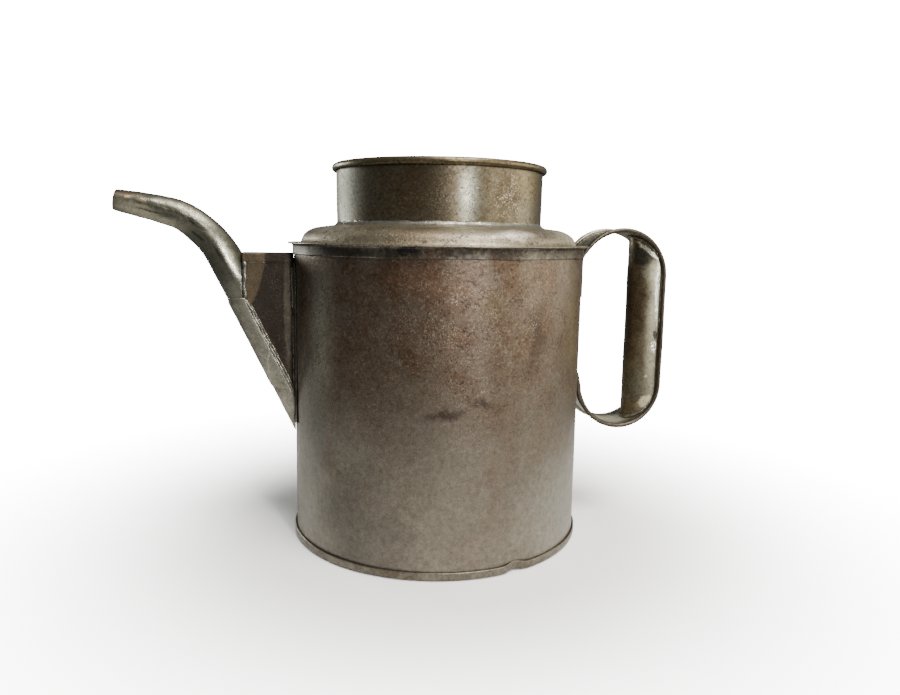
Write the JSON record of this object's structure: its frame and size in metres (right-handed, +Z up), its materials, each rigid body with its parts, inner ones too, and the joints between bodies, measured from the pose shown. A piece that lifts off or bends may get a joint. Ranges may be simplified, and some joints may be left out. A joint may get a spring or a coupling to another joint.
{
  "type": "oil can",
  "caption": "Round tinplate oil can with a wide open neck, a curved spout on a hollow boot, and a wired strap handle with a half-round grip.",
  "frame": {"origin": "centre of the flat underside, on the axis of the round body", "axes": "+Z up along the body's axis, -X towards the spout's mouth, +X towards the handle, +Y to the back"},
  "size_m": [0.2894, 0.1586, 0.1948],
  "materials": {
    "body_tin": "aged tinplate, mottled brown rust over dull grey tin",
    "dark_tin": "dark brown rusted tinplate, satin",
    "spout_tin": "worn grey tinplate with dark scratches and pits",
    "handle_tin": "olive-grey tinplate with brown edges",
    "solder": "dull uneven soft solder",
    "iron_wire": "rusted iron wire inside a rolled edge"
  },
  "bodies": {
    "root": {"body_shell": "body_tin", "base_disc": "body_tin", "top_band": "body_tin", "breast": "body_tin", "neck": "body_tin", "rim_wire": "iron_wire", "neck_solder": "solder", "spout_tube": "spout_tin", "spout_nose": "spout_tin", "spout_cheek_front": "dark_tin", "spout_cheek_back": "dark_tin", "spout_cap": "dark_tin", "spout_solder_front": "solder", "spout_solder_back": "solder", "handle_strap": "handle_tin", "handle_wire_front": "iron_wire", "handle_wire_back": "iron_wire", "grip_shell": "dark_tin", "grip_solder_top": "solder", "grip_solder_bottom": "solder", "handle_solder_top": "solder", "handle_solder_bottom": "solder"}
  },
  "joints": []
}
